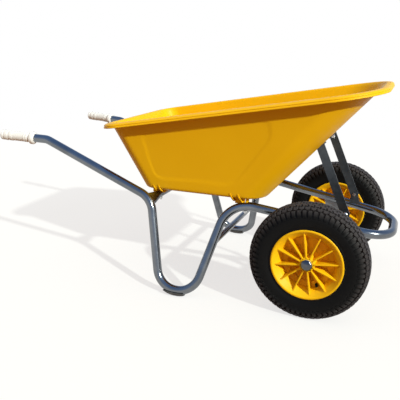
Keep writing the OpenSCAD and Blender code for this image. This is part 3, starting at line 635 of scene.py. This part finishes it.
def boss_fin(x, low):
    """A thin fin beside a boss: it starts on the wall, goes round under the floor and leans forward."""
    top = FLOOR_Z + 20
    edge = [(-224.5, top), (-223, FLOOR_Z + 6), (-216, FLOOR_Z - 5), (-207, low), (-188, low),
            (-188, FLOOR_Z + 3), (-210, FLOOR_Z + 3), (-221, FLOOR_Z + 14)]
    clear_selection()
    bpy.ops.mesh.primitive_circle_add(vertices=len(edge), radius=1, fill_type="NGON")
    fin = named(bpy.context.object, "right_boss_fin")
    for vertex, (y, z) in zip(fin.data.vertices, edge):
        vertex.co = spot(x + FIN_LEAN * (top - z), y, z)
    open_all(fin)
    bpy.ops.mesh.extrude_region_move(TRANSFORM_OT_translate={"value": (FIN_THICK * MM, 0, 0)})
    bpy.ops.object.mode_set(mode="OBJECT")
    close_mesh(fin)
    settle(fin, "BEVEL", width=1.2 * MM, segments=2, limit_method="ANGLE")
    return fin


CROSS_X, CROSS_Z, CROSS_R = -609, 328, 14 * MM
CUT_HALF = 300
SEAT_GAP = 0.1 * MM


def tray():
    """The tray with its saddle bosses, which are cut by the tubes that they sit on."""
    skin = tray_skin()
    rail = bent_tube("rail_cutter", RAIL_CORNERS[FOOT_FRONT:LEG_FRONT + 2], [0, RAIL_BENDS[LEG_FRONT], 0],
                     TUBE_R + SEAT_GAP, capped=True)
    cross = bent_tube("cross_cutter", [spot(CROSS_X, y, CROSS_Z) for y in (-CUT_HALF, CUT_HALF)], [0, 0],
                      CROSS_R + SEAT_GAP, capped=True)
    under = FLOOR_Z + TRAY_WALL / 2
    pieces = [
        boss("right_front_boss", spot(-302, -200, 329), spot(-253, -181, under), rail),
        boss("right_rear_boss", spot(-634, -199, 335), spot(-584, -169, under), cross),
    ]
    pieces += [boss_fin(x, low) for x, low in BOSS_FINS]
    pieces += [left_copy(piece, "left_boss") for piece in pieces]
    for cutter in (rail, cross):
        bpy.data.objects.remove(cutter)
    skin = join(skin, *pieces)
    soften(skin, 40)
    fit(skin, "frame", "tray_plastic", TRAY_YELLOW, "tray")


tray()


# ---------------------------------------------------------------- wheels

WHEEL_TURN = math.radians(8)
TYRE_R, TYRE_MID_R, TYRE_HALF, TYRE_INSIDE = 200, 153.5, 46.5, 39
PITCHES = 62
BLOCK_GAP, BLOCK_SWING, BAR_LENGTH = 5, 2.4, 12.5
TREAD_DEPTH, TREAD_EDGE, TREAD_FOOT = 6.0, 0.9, 0.6
TREAD_ROWS = [(-34.5, 11.0), (-21, 11.2), (-7, 11.2), (7, 11.2), (21, 11.2), (34.5, 11.0)]
SHOULDER_BAR, BAR_CUTS = (43, 69), 5
GROOVE_END, GROOVE_FADE, GROOVE_LEAST = 74, 26, 0.06
RIBS, RIB_THICK = 12, 5
TYRE_STEPS, RIM_STEPS, VALVE_STEPS = 2 * PITCHES, 120, 24
VALVE_ANGLE, VALVE_R, VALVE_SIDE = math.radians(-75), 83, 12.5


def tyre_curve(radius, turns):
    """Part of a circle about the middle of the tyre's section, by degrees from its widest place."""
    angles = [math.radians(a) for a in turns]
    return [(TYRE_MID_R + radius * math.sin(a), radius * math.cos(a)) for a in angles]


def tyre_outside():
    """The tyre's outer line from crown to flange, as (radius, distance from the middle)."""
    line = [(TYRE_R, 0), (199.95, 6), (199.7, 12), (199.2, 18), (198.3, 24), (196.6, 29), (193.6, 33),
            (189.0, 35)]
    return [Vector(p) for p in line + tyre_curve(TYRE_HALF, range(40, -31, -5))]


OUTSIDE = tyre_outside()


def tyre_point(reach, height):
    """A place at a distance along the outer line, raised from it by height."""
    side, left = (1 if reach >= 0 else -1), abs(reach)
    for a, b in zip(OUTSIDE, OUTSIDE[1:]):
        step = (b - a).length
        if left <= step:
            break
        left -= step
    run = (b - a).normalized()
    p = a + run * left + Vector((run.y, -run.x)) * height
    return p.x, side * p.y


def groove(reach):
    """How deep the tread is cut, less and less down the shoulder."""
    return TREAD_DEPTH * max(GROOVE_LEAST, min(1, (GROOVE_END - abs(reach)) / GROOVE_FADE))


def raised(block, middle):
    """A flat block drawn up to its full height, a little smaller towards its top."""
    open_all(block)
    for rise, share in ((TREAD_DEPTH - TREAD_EDGE, 0.95), (TREAD_EDGE, 0.9)):
        bpy.ops.mesh.extrude_region_move(TRANSFORM_OT_translate={"value": (0, 0, rise)})
        bpy.ops.transform.resize(value=(share, share, 1), center_override=middle)
    bpy.ops.object.mode_set(mode="OBJECT")
    return block


def zigzag_block(reach, width, length, swing, shift):
    """A six-cornered block of the tread's rows, its middle pushed sideways by swing."""
    half = width / 2
    foot = [(-length / 2, -half), (0, -half + swing), (length / 2, -half),
            (length / 2, half), (0, half + swing), (-length / 2, half)]
    clear_selection()
    bpy.ops.mesh.primitive_circle_add(vertices=6, radius=1, fill_type="NGON")
    block = bpy.context.object
    for vertex, (x, y) in zip(block.data.vertices, foot):
        vertex.co = (x + shift, y + reach, 0)
    return raised(block, Vector((shift, reach + swing / 3, 0)))


def shoulder_bar(side, shift):
    """A bar across the shoulder, cut into short lengths so that it can wrap round."""
    start, end = SHOULDER_BAR
    clear_selection()
    bpy.ops.mesh.primitive_grid_add(x_subdivisions=1, y_subdivisions=BAR_CUTS, size=2)
    bar = bpy.context.object
    for vertex in bar.data.vertices:
        vertex.co = (vertex.co.x * BAR_LENGTH / 2 + shift,
                     side * (start + end) / 2 + vertex.co.y * (end - start) / 2, 0)
    return raised(bar, Vector((shift, side * (start + end) / 2, 0)))


def tread(centre):
    """One pitch of staggered blocks and shoulder bars, modelled flat, wrapped on the tyre and repeated."""
    pitch = math.tau * TYRE_R / PITCHES
    blocks = []
    for row, (reach, width) in enumerate(TREAD_ROWS):
        swing, shift = (BLOCK_SWING, pitch / 2) if row % 2 else (-BLOCK_SWING, 0)
        blocks.append(zigzag_block(reach, width, pitch - BLOCK_GAP, swing, shift))
    blocks += [shoulder_bar(1, 0), shoulder_bar(-1, pitch / 2)]
    pitch_piece = named(join(*blocks), "tread_pitch")
    for vertex in pitch_piece.data.vertices:
        turn, reach = vertex.co.x / TYRE_R, vertex.co.y
        radius, side = tyre_point(reach, -(groove(reach) + TREAD_FOOT) * (1 - vertex.co.z / TREAD_DEPTH))
        vertex.co = centre + Vector((radius * math.sin(turn), -side, radius * math.cos(turn))) * MM
    close_mesh(pitch_piece)
    ring_of_copies(pitch_piece, PITCHES, centre, (0, 1, 0))
    return pitch_piece


def carcass(centre):
    """The tyre's body under the tread, with a fine ring on each side wall, down to the beads."""
    outer, reach = [], 0.0
    for i, p in enumerate(OUTSIDE):
        reach += (p - OUTSIDE[i - 1]).length if i else 0
        outer.append(tyre_point(reach, -groove(reach)))
    side = [(128.4, 39.6), (127.6, 40.3), (126.2, 40.3), (125.4, 39.6), (122.4, 39.9), (119, 39.7),
            (102.1, 27.7), (102.1, 20.5)]
    half = outer + side + tyre_curve(TYRE_INSIDE, range(-50, 91, 20))
    section = half + [(r, -w) for r, w in half[::-1]]
    return lathe("right_tyre_body", section, centre, (0, -1, 0), TYRE_STEPS)


def rim_section():
    """The rim's section from the hub over the web and the flange to the well."""
    out = [(14.1, 38), (25, 38), (28, 3), (68, 3), (68, 7), (89, 7), (89, 15), (97.4, 29.5), (112.4, 42.2),
           (114.4, 43.6), (118.4, 44), (121, 42.2), (121, 40.5), (119, 40), (102, 28), (102, 20), (94, 16)]
    curve = [0.8, 1.6, 3, 1.5, 1.2, 3, 3, 4, 0.8, 1, 1.6, 1.2, 0.5, 1, 2, 2, 2]
    return round_corners(out + [(r, -w) for r, w in out[::-1]], curve + curve[::-1], 4)


def rim(centre):
    """The turned rim with a ring of ribs on each side of its web."""
    body = lathe("right_wheel_rim", rim_section(), centre, (0, -1, 0), RIM_STEPS)
    ribs = []
    for side in (1, -1):
        edge = [(20, 2), (20, 38), (25, 38), (108.5, 37.5), (100, 29), (97, 20), (91.5, 14), (91.5, 2)]
        clear_selection()
        bpy.ops.mesh.primitive_circle_add(vertices=len(edge), radius=1, fill_type="NGON")
        rib = bpy.context.object
        for vertex, (r, w) in zip(rib.data.vertices, edge):
            vertex.co = centre + Vector((r, side * -w, -RIB_THICK / 2)) * MM
        open_all(rib)
        bpy.ops.mesh.extrude_region_move(TRANSFORM_OT_translate={"value": (0, 0, RIB_THICK * MM)})
        bpy.ops.object.mode_set(mode="OBJECT")
        close_mesh(rib)
        settle(rib, "BEVEL", width=1.0 * MM, segments=2, limit_method="ANGLE")
        open_all(rib)
        bpy.ops.transform.rotate(value=WHEEL_TURN, orient_axis="Y", orient_type="GLOBAL",
                                 center_override=centre)
        ring_of_copies(rib, RIBS, centre, (0, 1, 0))
        ribs.append(rib)
    return join(body, *ribs)


def valve_cap(centre):
    """The valve's cap in the rim's recess."""
    turn = VALVE_ANGLE + WHEEL_TURN
    out = Vector((math.cos(turn), 0, math.sin(turn)))
    seat = centre + out * VALVE_R * MM + Vector((0, -VALVE_SIDE, 0)) * MM
    section = round_corners([(0, -5), (4.4, -5), (4.9, 6), (4.3, 6), (4.3, 12), (0, 12)],
                            (0, 1.4, 0.5, 0.5, 0.5, 0))
    return lathe("right_valve_cap", section, seat, out, VALVE_STEPS)


def wheels():
    centre = WHEEL_MIDDLE["right_wheel"]
    body, blocks = carcass(centre), tread(centre)
    soften(body, 40)
    soften(blocks, 25)
    tyre = named(join(body, blocks), "right_treaded_tyre")
    disc = rim(centre)
    soften(disc, 35)
    cap = valve_cap(centre)
    soften(cap, 40)
    for piece, name in ((tyre, "left_treaded_tyre"), (disc, "left_wheel_rim"), (cap, "left_valve_cap")):
        left_copy(piece, name)
    for side in ("right", "left"):
        body = side + "_wheel"
        fit(bpy.data.objects[side + "_treaded_tyre"], body, "tyre_rubber", TYRE_BLACK, side + "_tyre")
        fit(bpy.data.objects[side + "_wheel_rim"], body, "rim_plastic", RIM_YELLOW, side + "_rim")
        fit(bpy.data.objects[side + "_valve_cap"], body, "tube_rubber", INNER_BLACK)


wheels()


# ---------------------------------------------------------------- stage, light and camera

STAGE_SIZE = 60
FLOOR_WHITE, FLOOR_WARM = (0.86, 0.86, 0.86, 1), (0.28, 0.165, 0.09, 1)
SKY_STOPS = ((0.1, (1, 1, 1, 1)), (0.3, (0.52, 0.66, 0.92, 1)), (0.9, (0.24, 0.42, 0.8, 1)))
FILL_STOPS = ((0.0, (0.36, 0.16, 0.08, 1)), (0.35, (0.4, 0.2, 0.11, 1)), (0.85, (1, 0.98, 0.9, 1)))
FILL_LEVEL, SUN_LEVEL = 0.8, 4.1
SUN_COLOUR, SUN_PLACE, SUN_WIDTH = (0.96, 1.0, 0.9), (0.78, -0.4, 0.52), math.radians(2)
# The camera's turn in radians and place in millimetres. The focal length and the shift are in pixels.
CAMERA_TURN = -0.356367, -0.285469, 0.0137573
CAMERA_PLACE = 272.5, -1950.1, 898.9
PICTURE, FOCAL, SENSOR = 400, 529.502, 36
SHIFT = -15.113, -5.058


def seen_rays(nodes, links):
    """1 for the rays that show the surroundings, straight or in metal, and 0 for those that only light."""
    paths = nodes.new("ShaderNodeLightPath")
    first, second = nodes.new("ShaderNodeMath"), nodes.new("ShaderNodeMath")
    first.operation = second.operation = "MAXIMUM"
    links.new(paths.outputs["Is Camera Ray"], first.inputs[0])
    links.new(paths.outputs["Is Glossy Ray"], first.inputs[1])
    links.new(first.outputs[0], second.inputs[0])
    links.new(paths.outputs["Is Transmission Ray"], second.inputs[1])
    return second.outputs[0]


def pale_floor():
    """A white floor that keeps the shadow, with a warm dim face for the light that it throws back."""
    clear_selection()
    bpy.ops.mesh.primitive_plane_add(size=STAGE_SIZE)
    floor = named(bpy.context.object, "pale_floor")
    finish = bpy.data.materials.new("pale_floor")
    finish.use_nodes = True
    nodes, links = finish.node_tree.nodes, finish.node_tree.links
    nodes.clear()
    matte, dim, glow = (nodes.new("ShaderNodeBsdfDiffuse"), nodes.new("ShaderNodeBsdfDiffuse"),
                        nodes.new("ShaderNodeEmission"))
    matte.inputs["Color"].default_value = FLOOR_WHITE
    dim.inputs["Color"].default_value = FLOOR_WARM
    pale, blend = nodes.new("ShaderNodeMixShader"), nodes.new("ShaderNodeMixShader")
    output = nodes.new("ShaderNodeOutputMaterial")
    place, far = nodes.new("ShaderNodeTexCoord"), nodes.new("ShaderNodeVectorMath")
    fade = nodes.new("ShaderNodeMapRange")
    far.operation = "LENGTH"
    for key, value in (("From Min", 1.0), ("From Max", 4.0), ("To Min", 0.7), ("To Max", 1.0)):
        fade.inputs[key].default_value = value
    links.new(place.outputs["Object"], far.inputs[0])
    links.new(far.outputs["Value"], fade.inputs["Value"])
    links.new(fade.outputs["Result"], pale.inputs["Fac"])
    links.new(matte.outputs["BSDF"], pale.inputs[1])
    links.new(glow.outputs["Emission"], pale.inputs[2])
    links.new(seen_rays(nodes, links), blend.inputs["Fac"])
    links.new(dim.outputs["BSDF"], blend.inputs[1])
    links.new(pale.outputs["Shader"], blend.inputs[2])
    links.new(blend.outputs["Shader"], output.inputs["Surface"])
    floor.data.materials.append(finish)


def white_room():
    """White for the camera. Metal sees blue overhead, and rays that only light get a warm fill."""
    world = bpy.data.worlds.new("white_room")
    bpy.context.scene.world = world
    world.use_nodes = True
    nodes, links = world.node_tree.nodes, world.node_tree.links
    nodes.clear()
    place, parts = nodes.new("ShaderNodeTexCoord"), nodes.new("ShaderNodeSeparateXYZ")
    sky, fill = nodes.new("ShaderNodeValToRGB"), nodes.new("ShaderNodeValToRGB")
    for ramp, stops in ((sky, SKY_STOPS), (fill, FILL_STOPS)):
        ramp.color_ramp.elements.new(0.5)
        for element, (at, colour) in zip(ramp.color_ramp.elements, stops):
            element.position, element.color = at, colour
    lit, shown = nodes.new("ShaderNodeBackground"), nodes.new("ShaderNodeBackground")
    lit.inputs["Strength"].default_value = FILL_LEVEL
    shown.inputs["Strength"].default_value = 1.0
    blend, output = nodes.new("ShaderNodeMixShader"), nodes.new("ShaderNodeOutputWorld")
    links.new(place.outputs["Generated"], parts.inputs["Vector"])
    links.new(parts.outputs["Z"], sky.inputs["Fac"])
    paths, seen = nodes.new("ShaderNodeLightPath"), nodes.new("ShaderNodeMixRGB")
    links.new(paths.outputs["Is Camera Ray"], seen.inputs["Fac"])
    links.new(sky.outputs["Color"], seen.inputs["Color1"])
    seen.inputs["Color2"].default_value = (1, 1, 1, 1)
    links.new(seen.outputs["Color"], shown.inputs["Color"])
    links.new(parts.outputs["Z"], fill.inputs["Fac"])
    links.new(fill.outputs["Color"], lit.inputs["Color"])
    links.new(seen_rays(nodes, links), blend.inputs["Fac"])
    links.new(lit.outputs["Background"], blend.inputs[1])
    links.new(shown.outputs["Background"], blend.inputs[2])
    links.new(blend.outputs["Shader"], output.inputs["Surface"])


def key_light():
    """A sun from the front right, low enough to light the leaning front wall."""
    clear_selection()
    bpy.ops.object.light_add(type="SUN")
    sun = bpy.context.object
    sun.name = "key_light"
    sun.data.energy = SUN_LEVEL
    sun.data.angle = SUN_WIDTH
    sun.data.color = SUN_COLOUR
    towards = Vector(SUN_PLACE).normalized()
    sun.rotation_euler = towards.to_track_quat("Z", "Y").to_euler()


def photo_camera():
    """A camera with the place, turn and focal length that fit points of the object in the photo."""
    yaw, pitch, roll = CAMERA_TURN
    ahead = Vector((math.sin(yaw) * math.cos(pitch), math.cos(yaw) * math.cos(pitch), math.sin(pitch)))
    flat = Vector((math.cos(yaw), -math.sin(yaw), 0))
    up = flat.cross(ahead)
    right = flat * math.cos(roll) + up * math.sin(roll)
    top = up * math.cos(roll) - flat * math.sin(roll)
    clear_selection()
    bpy.ops.object.camera_add()
    camera = bpy.context.object
    camera.name = "photo_camera"
    camera.matrix_world = Matrix.Translation(spot(*CAMERA_PLACE)) @ Matrix(
        (right, top, -ahead)).transposed().to_4x4()
    camera.data.sensor_width = SENSOR
    camera.data.lens = FOCAL * SENSOR / PICTURE
    camera.data.shift_x, camera.data.shift_y = SHIFT[0] / PICTURE, SHIFT[1] / PICTURE
    camera.data.clip_start, camera.data.clip_end = 0.05, 200
    bpy.context.scene.camera = camera


pale_floor()
white_room()
key_light()
photo_camera()
bpy.context.scene.view_settings.view_transform = "Standard"
